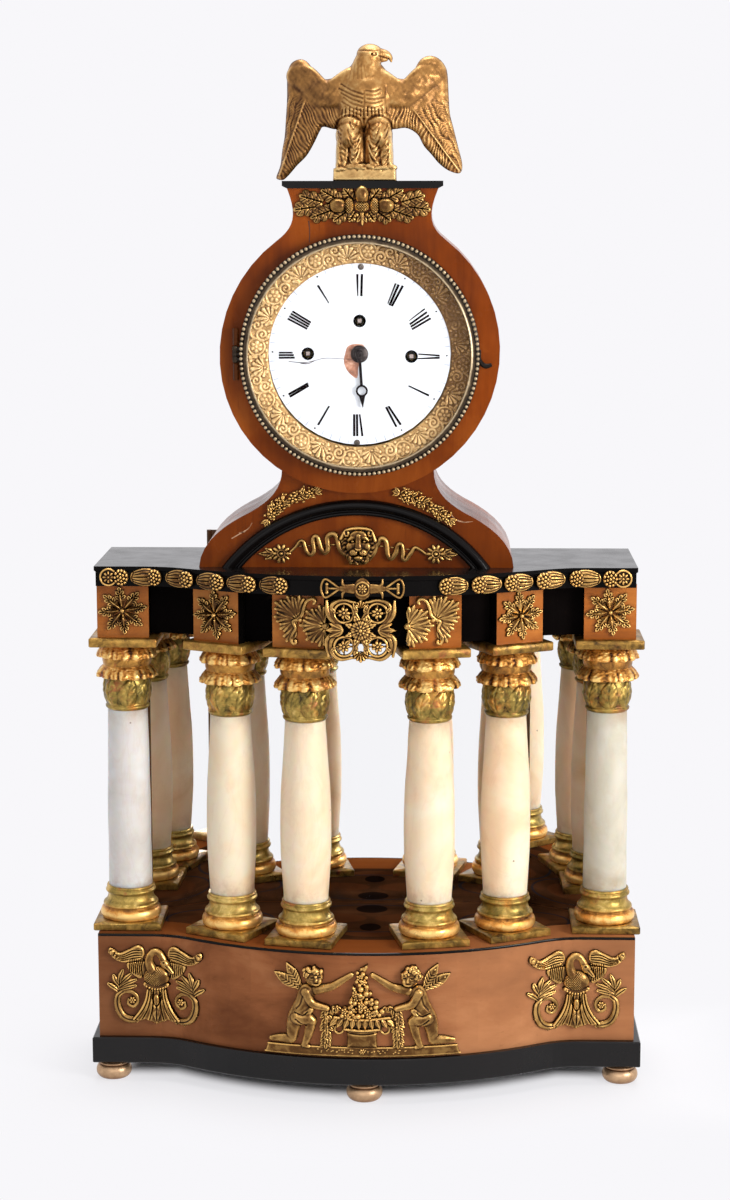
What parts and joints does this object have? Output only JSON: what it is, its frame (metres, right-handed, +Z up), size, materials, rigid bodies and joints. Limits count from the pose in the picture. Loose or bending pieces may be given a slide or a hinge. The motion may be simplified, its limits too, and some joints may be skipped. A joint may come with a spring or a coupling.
{
  "type": "pendulum clock",
  "caption": "Portico mantel clock: serpentine base, alabaster columns before a mirrored niche, drum head with hinged bezel and pendulum movement, carved gilt eagle on top.",
  "frame": {"origin": "middle of the footprint, on the surface the feet stand on", "axes": "+Z up, the dial faces -Y, +X to the viewer's right"},
  "size_m": [0.3, 0.1056, 0.5588],
  "materials": {
    "head_veneer": "orange-brown cherry veneer, french polished",
    "base_veneer": "paler pinkish veneer, worn polish",
    "ebonised_wood": "black stained, polished",
    "carcase_wood": "bare softwood, dark with age",
    "alabaster": "polished, translucent, clouded",
    "gilt": "pressed brass, orange gilding with green patina",
    "gilt_brass": "pressed and beaded brass, pale gilding",
    "gilt_wood": "carved, water gilt over red bole",
    "movement_brass": "grained brass",
    "bronze": "dark patinated bun feet",
    "blued_steel": "dark blued steel",
    "enamel": "white vitreous enamel with black numerals",
    "mirror_glass": "old silvered glass",
    "glass": "clear pane"
  },
  "bodies": {
    "case": {"foot_front_left": "bronze", "foot_front_centre": "bronze", "foot_front_right": "bronze", "foot_rear_left": "bronze", "foot_rear_right": "bronze", "base_moulding": "ebonised_wood", "base_box": "base_veneer", "column_base_1": "gilt", "column_base_2": "gilt", "column_base_3": "gilt", "column_base_4": "gilt", "column_base_5": "gilt", "column_base_6": "gilt", "column_shaft_1": "alabaster", "column_shaft_2": "alabaster", "column_shaft_3": "alabaster", "column_shaft_4": "alabaster", "column_shaft_5": "alabaster", "column_shaft_6": "alabaster", "column_capital_1": "gilt", "column_capital_2": "gilt", "column_capital_3": "gilt", "column_capital_4": "gilt", "column_capital_5": "gilt", "column_capital_6": "gilt", "frieze_block_1": "head_veneer", "frieze_block_2": "head_veneer", "frieze_block_3": "head_veneer", "frieze_block_4": "head_veneer", "frieze_block_5": "head_veneer", "frieze_block_6": "head_veneer", "frieze_board": "ebonised_wood", "cornice": "ebonised_wood", "niche_back": "carcase_wood", "mirror_left": "mirror_glass", "mirror_centre": "mirror_glass", "mirror_right": "mirror_glass", "head_case": "head_veneer", "drum_front": "head_veneer", "arch_moulding": "ebonised_wood", "head_cap": "ebonised_wood", "dial_surround": "gilt_brass", "dial": "enamel", "front_plate": "movement_brass", "back_plate": "movement_brass", "eagle": "gilt_wood"},
    "bezel_door": {"bezel": "gilt_brass", "bezel_glass": "glass"},
    "rear_door": {"back_door": "carcase_wood"},
    "going_barrel": {"going_barrel": "movement_brass"},
    "strike_barrel": {"strike_barrel": "movement_brass"},
    "quarter_barrel": {"quarter_barrel": "movement_brass"},
    "centre_arbor": {"centre_wheel": "movement_brass"},
    "minute_arbor": {"minute_wheel": "movement_brass"},
    "hour_pipe": {"hour_wheel": "movement_brass", "hour_hand": "blued_steel"},
    "third_arbor": {"third_wheel": "movement_brass"},
    "escape_arbor": {"escape_wheel": "movement_brass"},
    "pallet_arbor": {"pallets": "blued_steel"},
    "pendulum": {"pendulum": "movement_brass"}
  },
  "joints": [
    {"name": "bezel_hinge", "type": "hinge", "parent": "case", "child": "bezel_door", "pos_m": [-0.0669, -0.0295, 0.3995], "axis": [0, 0, -1], "range_deg": [0, 110]},
    {"name": "rear_door_hinge", "type": "hinge", "parent": "case", "child": "rear_door", "pos_m": [-0.08891, 0.0486, 0.29], "axis": [0, 0, 1], "range_deg": [0, 100]},
    {"name": "centre_turn", "type": "hinge", "parent": "case", "child": "centre_arbor", "pos_m": [-0.0025, 0, 0.3995], "axis": [0, 1, 0], "continuous": true},
    {"name": "going_barrel_turn", "type": "hinge", "parent": "case", "child": "going_barrel", "pos_m": [0.0245, 0, 0.3981], "axis": [0, 1, 0], "continuous": true},
    {"name": "minute_wheel_turn", "type": "hinge", "parent": "case", "child": "minute_arbor", "pos_m": [-0.0025, 0, 0.3875], "axis": [0, 1, 0], "continuous": true},
    {"name": "hour_hand_turn", "type": "hinge", "parent": "case", "child": "hour_pipe", "pos_m": [-0.0025, 0, 0.3995], "axis": [0, 1, 0], "continuous": true},
    {"name": "third_wheel_turn", "type": "hinge", "parent": "case", "child": "third_arbor", "pos_m": [-0.0115, 0, 0.41691], "axis": [0, 1, 0], "continuous": true},
    {"name": "escape_wheel_turn", "type": "hinge", "parent": "case", "child": "escape_arbor", "pos_m": [-0.0025, 0, 0.42815], "axis": [0, 1, 0], "continuous": true},
    {"name": "strike_winding", "type": "hinge", "parent": "case", "child": "strike_barrel", "pos_m": [-0.0295, 0, 0.3995], "axis": [0, 1, 0], "continuous": true},
    {"name": "quarter_winding", "type": "hinge", "parent": "case", "child": "quarter_barrel", "pos_m": [-0.0025, 0, 0.4165], "axis": [0, 1, 0], "continuous": true},
    {"name": "pendulum_swing", "type": "hinge", "parent": "case", "child": "pendulum", "pos_m": [-0.0025, 0.0351, 0.44265], "axis": [0, 1, 0], "range_deg": [-4, 4]},
    {"name": "pallet_rock", "type": "hinge", "parent": "case", "child": "pallet_arbor", "pos_m": [-0.0025, 0.023, 0.44265], "axis": [0, 1, 0], "range_deg": [-4, 4]}
  ],
  "couplings": [
    {"joint": "going_barrel_turn", "follows": "centre_turn", "ratio": -0.125},
    {"joint": "minute_wheel_turn", "follows": "centre_turn", "ratio": -0.33333},
    {"joint": "hour_hand_turn", "follows": "centre_turn", "ratio": 0.083333},
    {"joint": "third_wheel_turn", "follows": "centre_turn", "ratio": -6},
    {"joint": "escape_wheel_turn", "follows": "centre_turn", "ratio": 30},
    {"joint": "pallet_rock", "follows": "pendulum_swing", "ratio": 1}
  ]
}
